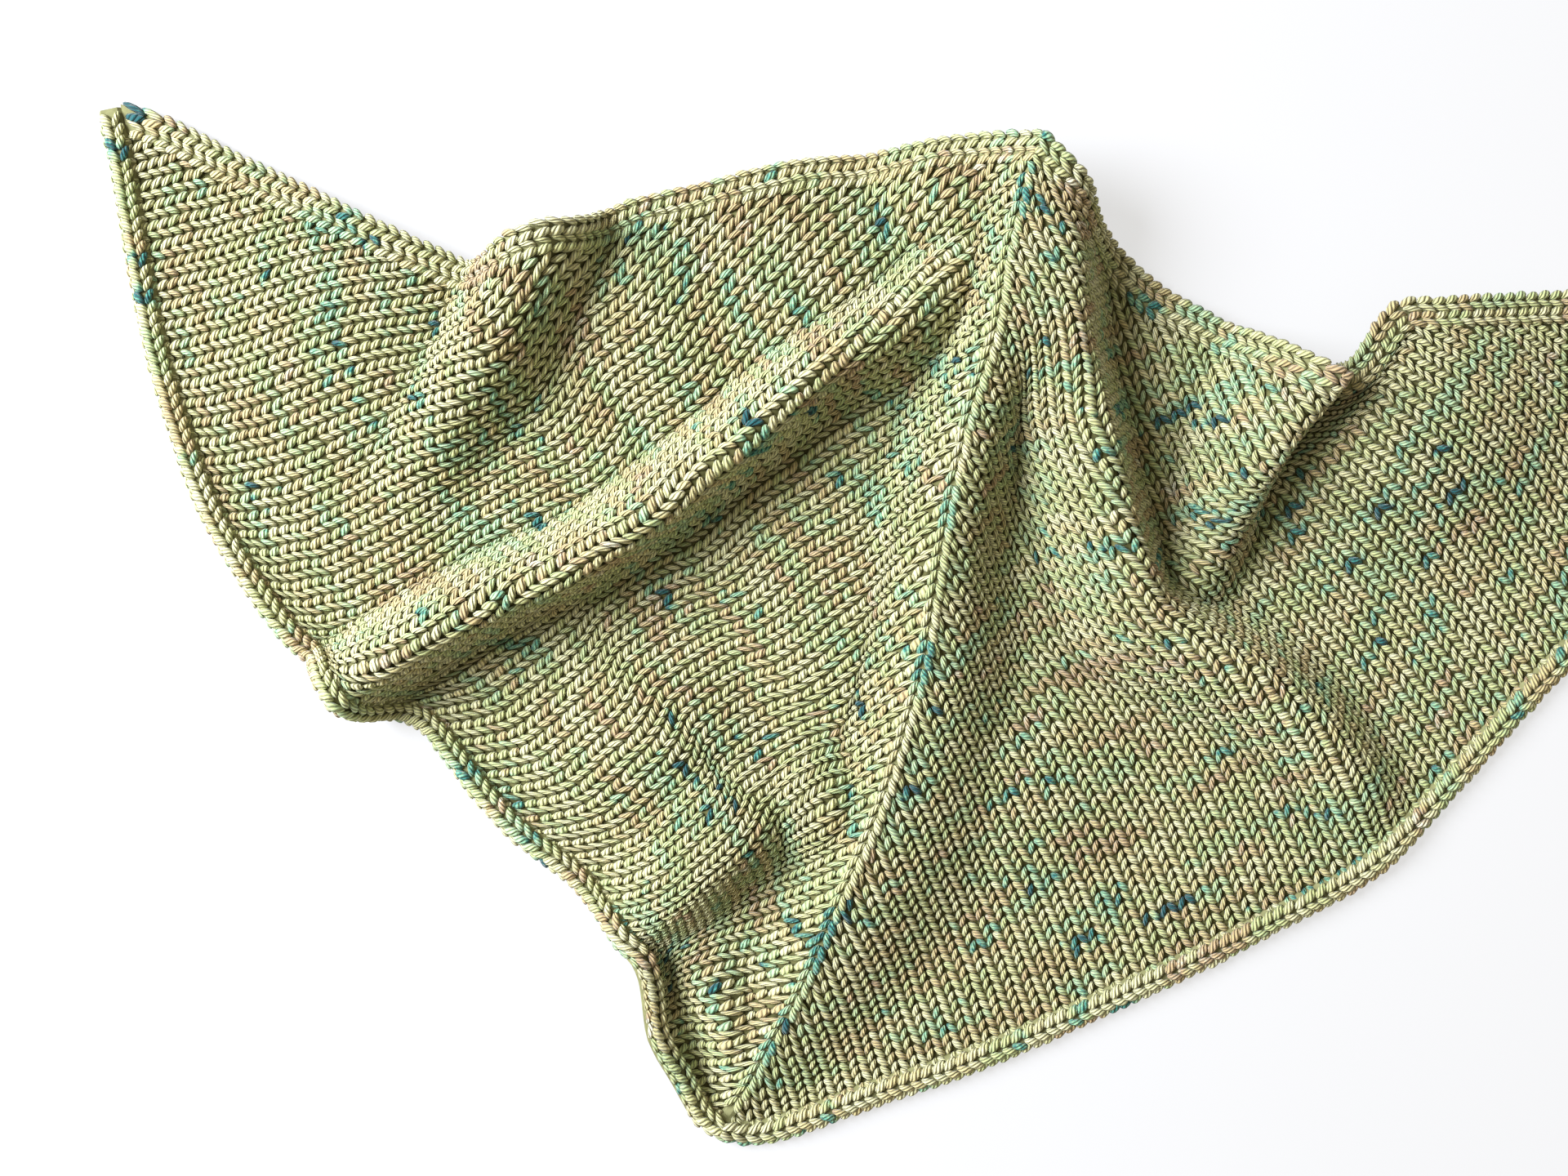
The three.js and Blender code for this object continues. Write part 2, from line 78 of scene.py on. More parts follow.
# %% Sizes
MM = 0.001
STITCH_WIDTH = 5.6
ROW_HEIGHT = 2.9
ROWS = 76
HALF_DEPTH = ROWS * ROW_HEIGHT
SPINE_ANGLE = math.radians(44)
NECK_ANGLE = math.radians(39)
SPINE_SLOPE = math.tan(SPINE_ANGLE)
NECK_SLOPE = math.tan(NECK_ANGLE)
SEAM_GAP = 0.5
LOWEST_YARN = 0.05
NECK_WIDTH = 9.2
CORD_WIDTH = 6.6
CENTRE = np.array([4.5, 3.4, 0.0])
rng = np.random.default_rng(76)
print("one half:", ROWS, "rows,", round(HALF_DEPTH), "mm deep")

# %% Outlines on the table: x, y
NECK_CENTRE = [19, 128]
BOTTOM_CORNER = [-66, -143]
LEFT_WINGTIP = [-241, 143]
RIGHT_WINGTIP = [241, 81]
SPINE = [
    NECK_CENTRE, [14, 106], [11, 84], [3, 57], [-4, 25], [-9, -8],
    [-15, -31], [-23, -56], [-33, -78], [-43, -102], [-58, -130], BOTTOM_CORNER,
]
NECK_LEFT = [
    [2, 140], [-21, 137.5], [-45, 135.5], [-68, 130], [-80, 127], [-92, 124], [-103, 120],
    [-114, 116], [-122, 113], [-130, 109], [-138, 105], [-148, 109], [-164, 116],
    [-188, 128], [-212, 140], [-227, 148],
]
NECK_RIGHT = [
    [34, 125], [48, 111], [60, 100], [73, 92], [85, 85], [95, 79], [103, 77], [109, 75],
    [124, 92], [137, 94], [147, 95], [171, 97], [190, 98], [209, 96], [228, 93],
]
LOWER_LEFT = [
    [-76, -145], [-84, -133], [-91, -121], [-93, -111], [-95, -100], [-102, -87],
    [-114, -74], [-129, -63], [-140, -51], [-149, -39], [-156, -30], [-165, -27],
    [-171, -28], [-177, -23], [-182, -16], [-194, -7], [-205, 7], [-220, 32],
    [-229, 56], [-236, 80], [-241, 104], [-247, 139],
]
LOWER_RIGHT = [
    [-52, -151], [-21, -140], [3, -132], [27, -122], [51, -111], [75, -100], [99, -87],
    [123, -74], [145, -52], [167, -27], [183, -10], [202, 12], [221, 37], [235, 59],
]

# %% [markdown]
# ## Folds
#
# Cloth that is laid down loosely stands up in ridges. Each ridge here is a short table: a line
# of crest places with the crest's height, how far the cloth slopes down on its gentle side and
# on its steep side, and how far the crest hangs over the steep side.

# %% Folds: x, y, height, gentle width, steep width, overhang
SPINE_RIDGE = (1, [
    [22, 147, 22, 22, 40, 0], [19, 129, 22, 20, 40, 0], [15, 106, 22, 15, 36, 0],
    [12, 84, 22, 18, 26, 0], [5, 57, 19, 23, 18, 0], [-3, 25, 17, 26, 22, 0],
    [-8, -8, 16, 24, 32, 0], [-14, -31, 16, 20, 40, 0], [-22, -56, 15, 18, 44, 0],
    [-32, -78, 13, 20, 38, 0], [-43, -102, 9, 19, 30, 0], [-58, -129, 4, 15, 18, 0],
    [-66, -143, 2, 12, 8, 0],
])
LEFT_SHOULDER_FOLD = (1, [
    [-112, 128, 22, 24, 22, 0], [-118, 108, 22, 24, 21, 0], [-128, 90, 20, 24, 20, 0],
    [-138, 74, 17, 23, 20, 0], [-148, 60, 13, 22, 19, 0], [-156, 48, 8, 20, 19, 0],
    [-165, 36, 3, 18, 20, 0], [-173, 28, 0, 18, 20, 0],
])
LONG_LEFT_FOLD = (-1, [
    [-194, -34, 16, 12, 17, 4], [-172, -17, 20, 11, 17, 5], [-153, -5, 22, 10, 17, 6],
    [-131, 7, 22, 10, 17, 6], [-108, 17, 22, 10, 17, 6], [-85, 33, 22, 10, 17, 6],
    [-63, 50, 22, 11, 17, 6], [-40, 72, 21, 12, 18, 4], [-20, 85, 19, 15, 20, 2],
    [-4, 99, 15, 18, 22, 0], [12, 118, 10, 20, 22, 0],
])
MIDDLE_RIGHT_FOLD = (1, [
    [25, 145, 24, 36, 24, 0], [26, 129, 25, 36, 22, 1], [29, 106, 25, 32, 21, 3],
    [31, 80, 24, 26, 20, 3], [37, 59, 23, 21, 19, 3], [43, 36, 21, 20, 18, 3],
    [50, 15, 20, 21, 18, 3], [57, 3, 18, 23, 18, 2], [72, -8, 18, 19, 19, 1],
    [88, -18, 16, 18, 19, 0], [106, -33, 12, 17, 18, 0], [118, -48, 7, 16, 16, 0],
    [126, -59, 1, 20, 14, 0],
])
RIGHT_SHOULDER_FOLD = (1, [
    [118, 91, 24, 27, 17, 11], [109, 74, 25, 27, 17, 10], [100, 64, 24, 25, 17, 9],
    [91, 53, 22, 20, 16, 7], [84, 40, 18, 16, 15, 5], [77, 27, 13, 14, 14, 2],
    [70, 14, 8, 15, 14, 0], [60, 4, 3, 16, 14, 0],
])
LOW_LEFT_FOLD = (-1, [
    [-99, -93, 2, 16, 9, 0], [-88, -83, 8, 22, 13, 0], [-77, -74, 13, 26, 16, 0],
    [-67, -65, 14, 28, 17, 1], [-59, -58, 12, 28, 17, 0], [-53, -51, 6, 26, 16, 0],
    [-48, -45, 2, 22, 14, 0],
])
BOTTOM_TIP_FOLD = (-1, [
    [-77, -90, 0, 12, 10, 0], [-72, -101, 4, 13, 11, 0], [-67, -113, 6, 13, 10, 0],
    [-63, -130, 4, 10, 10, 0],
])
RAISED_LOWER_EDGE = (1, [
    [-106, -79, 1, 8, 8, 0], [-93, -94, 6, 8, 9, 0], [-90, -110, 7, 8, 9, 0],
    [-85, -124, 6, 8, 9, 0], [-75, -142, 3, 8, 8, 0],
])
FOLDS = [
    SPINE_RIDGE, LEFT_SHOULDER_FOLD, LONG_LEFT_FOLD, MIDDLE_RIGHT_FOLD,
    RIGHT_SHOULDER_FOLD, LOW_LEFT_FOLD, BOTTOM_TIP_FOLD, RAISED_LOWER_EDGE,
]
# Low swells between the folds: x, y, reach along x, reach along y, height
SWELLS = [
    [-87, 96, 41, 46, 7], [-49, 102, 58, 46, 8], [-176, 90, 56, 60, 9],
    [-92, -30, 42, 36, 7], [-37, 1, 36, 44, 4], [-39, -53, 24, 22, 12], [14, -46, 48, 46, 5],
    [86, -72, 40, 24, 1.5], [130, 63, 68, 58, 15], [76, 79, 34, 29, 3],
    [55, 110, 26, 26, 2], [0, 124, 34, 26, 16],
]
print(len(FOLDS), "folds and", len(SWELLS), "swells")

# %% [markdown]
# ## Smooth curves
#
# A few read-off places become a flowing line with a Catmull-Rom curve, which passes through
# every place. The same helper smooths outlines and whole fold tables, column by column.

# %% Curve helpers
def smooth_rows(rows, steps=8):
    places = np.asarray(rows, float)
    ends = [2 * places[:1] - places[1:2], 2 * places[-1:] - places[-2:-1]]
    padded = np.vstack([ends[0], places, ends[1]])
    s = (np.arange(steps) / steps)[:, None]
    pieces = []
    for a, b, c, d in zip(padded[:-3], padded[1:-2], padded[2:-1], padded[3:]):
        pieces.append(0.5 * (2 * b + (c - a) * s + (2 * a - 5 * b + 4 * c - d) * s**2
                             + (3 * b - a - 3 * c + d) * s**3))
    return np.vstack(pieces + [places[-1:]])


def unit(vectors):
    return vectors / np.maximum(np.linalg.norm(vectors, axis=-1, keepdims=True), 1e-9)


def runs_along(points):
    before = np.vstack([points[:1], points[:-1]])
    after = np.vstack([points[1:], points[-1:]])
    return unit(after - before)


def moved_in(points, distance, side):
    points = np.asarray(points, float)
    run = runs_along(points)
    return points + distance * side * np.stack([-run[:, 1], run[:, 0]], axis=1)


# %% [markdown]
# ## The laid surface
#
# For any place on the table top we need the height of the cloth there. Every fold gives a
# rounded rise that falls off with the distance from its crest line, and pushes the cloth a
# little sideways where the crest hangs over. The folds are then blended, so that one runs
# softly into the next.

# %% Crest lines, drawn back by their overhang
crests = []
for steep, table in FOLDS:
    line = smooth_rows(table)
    line[:, 2:] = np.maximum(line[:, 2:], 0)
    run = runs_along(line[:, :2])
    line[:, 0] += run[:, 1] * line[:, 5] * steep
    line[:, 1] -= run[:, 0] * line[:, 5] * steep
    crests.append((steep, line))
print("crest points:", sum(len(line) for _, line in crests))


# %% Rise and sideways shift of one fold
def fold_at(steep, line, plan):
    best = np.full(len(plan), np.inf)
    at = np.zeros(len(plan), int)
    along = np.zeros(len(plan))
    step = np.diff(line[:, :2], axis=0)
    for i, (start, edge) in enumerate(zip(line[:-1, :2], step)):
        t = np.clip((plan - start) @ edge / (edge @ edge), 0, 1)
        distance = np.hypot(*(plan - start - t[:, None] * edge).T)
        nearer = distance < best
        best[nearer], at[nearer], along[nearer] = distance[nearer], i, t[nearer]
    row = line[at] + (line[at + 1] - line[at]) * along[:, None]
    run = unit(step[at])
    off = plan - row[:, :2]
    on_steep = (run[:, 0] * off[:, 1] - run[:, 1] * off[:, 0]) * steep > 0
    width = np.where(on_steep, row[:, 4], row[:, 3])
    rise = 0.5 * (1 + np.cos(math.pi * np.minimum(best / width, 1)))
    shift = (row[:, 5] * rise**2 * steep)[:, None] * np.stack([-run[:, 1], run[:, 0]], axis=1)
    return row[:, 2] * rise, shift


# %% Height of the cloth over the table
BLEND = 4


def cloth_at(plan):
    shape = plan.shape[:-1]
    flat = plan.reshape(-1, 2)
    heights, shifts = zip(*(fold_at(steep, line, flat) for steep, line in crests))
    heights, shifts = list(heights), list(shifts)
    for x, y, reach_x, reach_y, height in SWELLS:
        far = np.minimum(np.hypot((flat[:, 0] - x) / reach_x, (flat[:, 1] - y) / reach_y), 1)
        heights.append(height * 0.5 * (1 + np.cos(math.pi * far)))
        shifts.append(np.zeros_like(flat))
    power = np.array(heights) ** BLEND
    total = power.sum(axis=0)
    share = power / np.maximum(total, 1e-6)
    moved = flat + (share[:, :, None] * np.array(shifts)).sum(axis=0)
    return np.column_stack([moved, total ** (1 / BLEND)]).reshape(*shape, 3)


print("highest crest, mm:", round(float(cloth_at(np.array([[98.0, 66.0]]))[0, 2]), 1))

# %% [markdown]
# ## The knitting's own net
#
# Stitches don't lie on a square table grid, they follow the knitting. Each half has rows that
# run from the spine to the neck edge, and columns that run down to the lower edge. We draw a
# net between the outlines and then even out its threads along the cloth, because knitting
# spreads itself evenly.
#
# In one place of the left half the photo shows the columns drawn together. GATHER is a line
# there: its two ends, its width and its strength. Near it a length counts for more, so more
# threads of the net come to lie there and the columns turn toward it.

# %% Evened threads
NET = 60
EVENING_ROUNDS = 6
GATHER = ([-46, -48], [-93, -102], 12, 1.7)
shares = np.linspace(0, 1, NET + 1)


def crowding(plan, start, stop, width, most):
    run = np.subtract(stop, start)
    along = np.clip((plan - start) @ run / (run @ run), 0, 1.2)
    beside = np.linalg.norm(plan - start - along[..., None] * run, axis=-1)
    return most * along * np.exp(-(beside / width) ** 2)


def evened(lines, gather=None):
    placed = cloth_at(lines)
    out = []
    for line, spots in zip(lines, placed):
        lengths = np.linalg.norm(np.diff(spots, axis=0), axis=1)
        if gather:
            lengths = lengths * (1 + crowding((line[1:] + line[:-1]) / 2, *gather))
        travelled = np.r_[0, np.cumsum(lengths)]
        wanted = shares * travelled[-1]
        out.append([np.interp(wanted, travelled, line[:, k]) for k in range(2)])
    return np.array(out).transpose(0, 2, 1)


def knitted_net(spine, neck, lower, gather=None):
    spine, neck = [evened(smooth_rows(line)[None])[0] for line in (spine, neck)]
    lower = evened(smooth_rows(lower)[None], gather)[0]
    down, across = shares[:, None, None], shares[None, :, None]
    straight = spine[:, None] + (neck - spine)[:, None] * across
    chord = spine[-1] + (neck[-1] - spine[-1]) * across
    net = straight + down * (lower[None] - chord)
    for _ in range(EVENING_ROUNDS):
        net[1:] = evened(net[1:], gather)
        net = evened(net.transpose(1, 0, 2)).transpose(1, 0, 2)
    return net


nets = {
    "left": knitted_net(
        SPINE,
        [NECK_CENTRE, *moved_in(NECK_LEFT, NECK_WIDTH + SEAM_GAP, 1), LEFT_WINGTIP],
        [BOTTOM_CORNER, *moved_in(LOWER_LEFT, CORD_WIDTH + SEAM_GAP, -1), LEFT_WINGTIP],
        GATHER),
    "right": knitted_net(
        SPINE,
        [NECK_CENTRE, *moved_in(NECK_RIGHT, NECK_WIDTH + SEAM_GAP, -1), RIGHT_WINGTIP],
        [BOTTOM_CORNER, *moved_in(LOWER_RIGHT, CORD_WIDTH + SEAM_GAP, 1), RIGHT_WINGTIP]),
}
print("threads of each net, both ways:", NET + 1)

# %% [markdown]
# ## A fine sheet to read places from
#
# Asking the folds again for every vertex of every stitch would take minutes. So the surface is
# worked out once on a fine sheet, with its normals, and each later point is read from the four
# sheet points around it. At the neck centre the sheet narrows to a point, where a normal can't
# be measured, so its first rows take the normal of the rows after them.

# %% Fine sheets with normals
FINE_DOWN = 152
FINE_ACROSS = 200
POINT_ROWS = 5


def read(grid, down, across):
    tall, wide = grid.shape[0] - 1, grid.shape[1] - 1
    v, u = down * tall, across * wide
    i = np.clip(np.floor(v).astype(int), 0, tall - 1)
    j = np.clip(np.floor(u).astype(int), 0, wide - 1)
    s, t = (v - i)[..., None], (u - j)[..., None]
    near = grid[i, j] * (1 - t) + grid[i, j + 1] * t
    far = grid[i + 1, j] * (1 - t) + grid[i + 1, j + 1] * t
    return near * (1 - s) + far * s


def softened(grid, rounds):
    for _ in range(rounds):
        for axis in (0, 1):
            rolled = grid.swapaxes(0, axis)
            rolled[1:-1] = (rolled[:-2] + 2 * rolled[1:-1] + rolled[2:]) / 4
            grid = rolled.swapaxes(0, axis)
    return grid


sheets = {}
for side, net in nets.items():
    down, across = np.meshgrid(np.linspace(0, 1, FINE_DOWN + 1),
                               np.linspace(0, 1, FINE_ACROSS + 1), indexing="ij")
    spots = cloth_at(read(net, down, across))
    tall, wide = np.gradient(spots, axis=0), np.gradient(spots, axis=1)
    normal = np.cross(tall, wide)
    normal *= np.sign(normal[..., 2].sum())
    normal = unit(softened(unit(normal), 3))
    normal[:POINT_ROWS] = unit(normal[POINT_ROWS:POINT_ROWS + 4].mean(axis=(0, 1)))
    sheets[side] = (spots, normal)
    print(side, "half, highest point, mm:", round(float(spots[..., 2].max()), 1))

# %% [markdown]
# ## Yarn leg
#
# A knit stitch shows as two short legs of yarn, like grains of rice that lean together into a
# V. A UV sphere is already a closed grain with its poles at the two ends, so it makes a good
# template: six sides and six rings are enough, because there will be thousands of copies.

# %% Template leg
bm = bmesh.new()
bmesh.ops.create_uvsphere(bm, u_segments=6, v_segments=6, radius=1)
bmesh.ops.rotate(bm, cent=(0, 0, 0), matrix=Matrix.Rotation(math.pi / 6, 3, "Z"),
                 verts=bm.verts)
bm.verts.index_update()
grain = np.array([v.co[:] for v in bm.verts])
corner_vertex = np.array([loop.vert.index for face in bm.faces for loop in face.loops])
face_sizes = np.array([len(face.loops) for face in bm.faces])
centres = np.repeat([face.calc_center_median()[:] for face in bm.faces], face_sizes, axis=0)
bm.free()

spread = np.hypot(grain[:, 0], grain[:, 1])
fuller = np.maximum(1 - np.abs(grain[:, 2]) ** 3, 0) ** 0.6
around = np.arctan2(grain[:, 1], grain[:, 0])
grain_x = np.where(spread > 1e-3, np.cos(around) * fuller, 0)
grain_y = np.where(spread > 1e-3, np.sin(around) * fuller, 0)
grain_t = (grain[:, 2] + 1) / 2

# The UV map winds round the leg (u) and runs along it (v). Each face keeps to its own side of
# the seam, so the turns are counted from the angle of the face's middle.
middle_turn = np.arctan2(centres[:, 1], centres[:, 0]) / (2 * math.pi)
turn = around[corner_vertex] / (2 * math.pi)
turn = np.where(spread[corner_vertex] > 1e-3, turn, middle_turn)
turn = middle_turn + (turn - middle_turn + 0.5) % 1 - 0.5
leg_uv = np.column_stack([turn, grain_t[corner_vertex]])
print("one leg:", len(grain), "vertices,", len(face_sizes), "faces")

# %% [markdown]
# ## Many legs as one mesh
#
# Copying the template thousands of times is done with whole arrays at once. Each leg has a
# base place and a far place in knitting coordinates: p across the column, q along it, and a
# height over the table side of the cloth. A placing function then lays all of them on the
# cloth. The dye value along the leg and the twist coordinate are stored on the mesh.

# %% Legs to mesh
def own(piece, slot, *nodes):
    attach(piece, "root")
    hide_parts(*nodes)
    return piece


def knit(name, legs, place, hand, material):
    base, far = legs["base"][:, None], legs["far"][:, None]
    axis = unit(far - base)
    left = hand * np.stack([axis[..., 1], -axis[..., 0]], axis=-1)
    t = grain_t[None, :, None]
    bow = 4 * t * (1 - t)
    flat = base + (far - base) * t
    flat = flat + left * (grain_x[None, :, None] * legs["wide"][:, None, None]
                          + bow * legs["bow"][:, None, None])
    low, top, end = (legs[key][:, None] for key in ("low", "top", "end"))
    t, bow = t[..., 0], bow[..., 0]
    height = low + (end - low) * t + (top - (low + end) / 2) * bow
    height = height + grain_y[None] * legs["thick"][:, None]
    spots = place(flat[..., 0], flat[..., 1], height) - CENTRE
    spots[..., 2] = np.maximum(spots[..., 2], LOWEST_YARN)
    count, size = spots.shape[:2]
    mesh = bpy.data.meshes.new(name)
    mesh.vertices.add(count * size)
    mesh.vertices.foreach_set("co", (spots * MM).ravel())
    corners = (np.arange(count)[:, None] * size + corner_vertex[None]).ravel()
    mesh.loops.add(len(corners))
    mesh.loops.foreach_set("vertex_index", corners)
    sizes = np.tile(face_sizes, count)
    mesh.polygons.add(len(sizes))
    mesh.polygons.foreach_set("loop_start", np.r_[0, np.cumsum(sizes)[:-1]])
    mesh.polygons.foreach_set("use_smooth", np.ones(len(sizes), bool))
    uv = np.tile(leg_uv, (count, 1, 1)).reshape(count, -1, 2)
    uv[..., 1] += legs["phase"][:, None]
    mesh.uv_layers.new(name="twist").data.foreach_set("uv", uv.ravel())
    dye = legs["dye"][:, :1] + (legs["dye"][:, 1:] - legs["dye"][:, :1]) * grain_t[None]
    mesh.attributes.new("dye", "FLOAT", "POINT").data.foreach_set("value", dye.ravel())
    mesh.update(calc_edges=True)
    mesh.validate()
    mesh.materials.append(material)
    piece = bpy.data.objects.new(name, mesh)
    bpy.context.collection.objects.link(piece)
    print(name, count, "legs,", count * int((face_sizes - 2).sum()), "triangles")
    return piece


# %% [markdown]
# ## Dyed yarn
#
# The wool was dyed by hand in short runs: pale celery, sage and tan with sparks of teal. A
# knitter works along the row, so each colour runs over a few neighbouring stitches of one row
# and then changes. We draw random run lengths and colours with a fixed seed.

# %% Colour runs along the yarn
RUN_VALUES = np.array([0.02, 0.07, 0.14, 0.26, 0.37, 0.5, 0.63, 0.76, 0.9])
RUN_SHARES = np.array([0.02, 0.04, 0.09, 0.15, 0.19, 0.2, 0.16, 0.1, 0.05])


def dyed_run(count, bias=0.0):
    values = []
    while len(values) < count + 1:
        pick = rng.choice(len(RUN_VALUES), p=RUN_SHARES / RUN_SHARES.sum())
        short = pick < 3 or pick > 7
        length = rng.integers(1, 4) if short else rng.integers(2, 9)
        values += [RUN_VALUES[pick]] * int(length)
    values = np.array(values[:count + 1]) + rng.normal(0, 0.03, count + 1)
    lifted = np.where(values > 0.2, values + bias, values)
    return np.clip(np.column_stack([lifted[:-1], lifted[1:]]), 0, 1)


# %% [markdown]
# ## Stitches as pairs of legs
#
# The base of a V comes out of the stitch before it, and its two legs open toward the next one.
# Seen along the knitting, the left leg shows its plies almost square across, like a rope, and
# the right leg shows them along its length, like a grain. Both come from the same twist. The
# base end lies on top of the stitch before it, and the far end dips under the next one.

# %% Stitch builder
def stitch_legs(p, q, hand, forward, half, span, low, top, end, wide, thick, bias=0.0):
    count = len(p)
    legs = {key: [] for key in ("base", "far", "wide", "thick", "low", "top", "end", "bow",
                                "phase", "order")}
    p = p + rng.normal(0, 0.08, count)
    q = q + rng.normal(0, 0.1, count)
    for leg, (side, broad) in enumerate(((1, 1.16), (-1, 0.94))):
        toward = side * hand * forward
        flare = half * rng.normal(1, 0.04, count)
        base = np.column_stack([p + toward * 0.12 * half, q - forward * span / 2])
        far = np.column_stack([p + toward * 0.92 * flare, q + forward * span / 2])
        legs["base"].append(base)
        legs["far"].append(far)
        legs["wide"].append(wide * broad * rng.normal(1, 0.05, count))
        legs["thick"].append(thick * rng.normal(1, 0.05, count))
        for key, value in (("low", low), ("top", top), ("end", end)):
            legs[key].append(value + rng.normal(0, 0.07, count))
        legs["bow"].append(side * 0.1 + rng.normal(0, 0.06, count))
        legs["phase"].append(rng.uniform(0, 1, count))
        legs["order"].append(2 * np.arange(count) + leg)
    legs = {key: np.concatenate(value) for key, value in legs.items()}
    legs["dye"] = dyed_run(2 * count, bias)[legs["order"]]
    return legs


def chosen(legs, keep):
    return {key: value[keep] for key, value in legs.items()}


# %% [markdown]
# ## Wool
#
# Two effects are shared by every yarn of the piece, so they are node groups. The first turns
# the dye value into a colour with a ramp. Fine fibre noise breaks it up, and broad patches let
# it drift over a few centimetres; then it is multiplied by painted shade. The second makes the
# plies: five strands that wind round the leg, raised along their backs, with painted shade in
# the grooves between them. It also paints shade on one side of the leg, where the neighbour
# keeps light away.

# %% Colours
def tone(code):
    parts = [int(code[i:i + 2], 16) / 255 for i in (1, 3, 5)]
    return (*[v / 12.92 if v <= 0.04045 else ((v + 0.055) / 1.055) ** 2.4 for v in parts], 1)


DYE_RAMP = [
    (0.0, "#1d5a5e"), (0.05, "#439084"), (0.12, "#93c59d"), (0.2, "#c3dfad"),
    (0.32, "#c8d391"), (0.44, "#dddb9c"), (0.56, "#eceab9"), (0.68, "#ded296"),
    (0.8, "#d0ba86"), (0.9, "#ccae86"), (1.0, "#f3f2d0"),
]


def new_group(name, inputs, outputs):
    group = bpy.data.node_groups.new(name, "ShaderNodeTree")
    for label, kind, value in inputs:
        socket = group.interface.new_socket(name=label, in_out="INPUT", socket_type=kind)
        socket.default_value = value
    for label, kind in outputs:
        group.interface.new_socket(name=label, in_out="OUTPUT", socket_type=kind)
    return group, group.nodes.new("NodeGroupInput"), group.nodes.new("NodeGroupOutput")


def math_node(nodes, links, operation, first, second=None):
    node = nodes.new("ShaderNodeMath")
    node.operation = operation
    for socket, value in zip(node.inputs, (first, second)):
        if isinstance(value, (int, float)):
            socket.default_value = value
        elif value is not None:
            links.new(value, socket)
    return node.outputs[0]


# %% Group: plied strands and their painted shade
plies_and_shade, given, result = new_group(
    "Plied strands and painted shade",
    [("Plies", "NodeSocketFloat", 5.0), ("Turns", "NodeSocketFloat", 2.5)],
    [("Height", "NodeSocketFloat"), ("Painted shade", "NodeSocketFloat")])
nodes, links = plies_and_shade.nodes, plies_and_shade.links
uv = nodes.new("ShaderNodeUVMap")
uv.uv_map = "twist"
split = nodes.new("ShaderNodeSeparateXYZ")
links.new(uv.outputs[0], split.inputs[0])
wound = math_node(nodes, links, "MULTIPLY", split.outputs[0], given.outputs["Plies"])
along = math_node(nodes, links, "MULTIPLY", split.outputs[1], given.outputs["Turns"])
phase = math_node(nodes, links, "ADD", wound, along)
swing = math_node(nodes, links, "SINE", math_node(nodes, links, "MULTIPLY", phase, math.pi))
ridge = math_node(nodes, links, "ABSOLUTE", swing)
links.new(ridge, result.inputs["Height"])
# Painted shade: the grooves between the plies are darker.
groove_shade = math_node(nodes, links, "POWER", ridge, 0.7)
# Painted shade: one side of the leg is darker, where the neighbour keeps light away.
side = math_node(nodes, links, "SINE",
                 math_node(nodes, links, "MULTIPLY", split.outputs[0], 2 * math.pi))
up = math_node(nodes, links, "MULTIPLY_ADD", side, 0.5)
up.node.inputs[2].default_value = 0.5
lit = math_node(nodes, links, "MULTIPLY_ADD", math_node(nodes, links, "POWER", up, 0.8), 0.75)
lit.node.inputs[2].default_value = 0.25
links.new(math_node(nodes, links, "MULTIPLY", groove_shade, lit), result.inputs["Painted shade"])

# %% Group: hand-dyed wool colour, multiplied by painted shade
dyed, given, result = new_group(
    "Hand-dyed wool with painted shade",
    [("Painted shade", "NodeSocketFloat", 1.0), ("Depth", "NodeSocketFloat", 0.45)],
    [("Color", "NodeSocketColor")])
nodes, links = dyed.nodes, dyed.links
value = nodes.new("ShaderNodeAttribute")
value.attribute_name = "dye"
place = nodes.new("ShaderNodeTexCoord")
noise = nodes.new("ShaderNodeTexNoise")
noise.inputs["Scale"].default_value = 900
noise.inputs["Detail"].default_value = 2
links.new(place.outputs["Object"], noise.inputs["Vector"])
wander = math_node(nodes, links, "MULTIPLY_ADD", noise.outputs["Fac"], 0.3)
wander.node.inputs[2].default_value = -0.15
patches = nodes.new("ShaderNodeTexNoise")
patches.inputs["Scale"].default_value = 38
patches.inputs["Detail"].default_value = 1
links.new(place.outputs["Object"], patches.inputs["Vector"])
drift = math_node(nodes, links, "MULTIPLY_ADD", patches.outputs["Fac"], 0.5)
drift.node.inputs[2].default_value = -0.25
wander = math_node(nodes, links, "ADD", wander, drift)
ramp = nodes.new("ShaderNodeValToRGB")
stops = ramp.color_ramp.elements
stops[0].position, stops[0].color = DYE_RAMP[0][0], tone(DYE_RAMP[0][1])
stops[1].position, stops[1].color = DYE_RAMP[-1][0], tone(DYE_RAMP[-1][1])
for position, code in DYE_RAMP[1:-1]:
    stops.new(position).color = tone(code)
links.new(math_node(nodes, links, "ADD", value.outputs["Fac"], wander), ramp.inputs["Fac"])
# The dye colour is multiplied by the painted shade of the plies.
shade = nodes.new("ShaderNodeMix")
shade.data_type = "RGBA"
shade.blend_type = "MULTIPLY"
links.new(given.outputs["Depth"], shade.inputs["Factor"])
links.new(ramp.outputs["Color"], shade.inputs[6])
shade_grey = nodes.new("ShaderNodeCombineColor")
for channel in shade_grey.inputs:
    links.new(given.outputs["Painted shade"], channel)
links.new(shade_grey.outputs[0], shade.inputs[7])
links.new(shade.outputs[2], result.inputs["Color"])


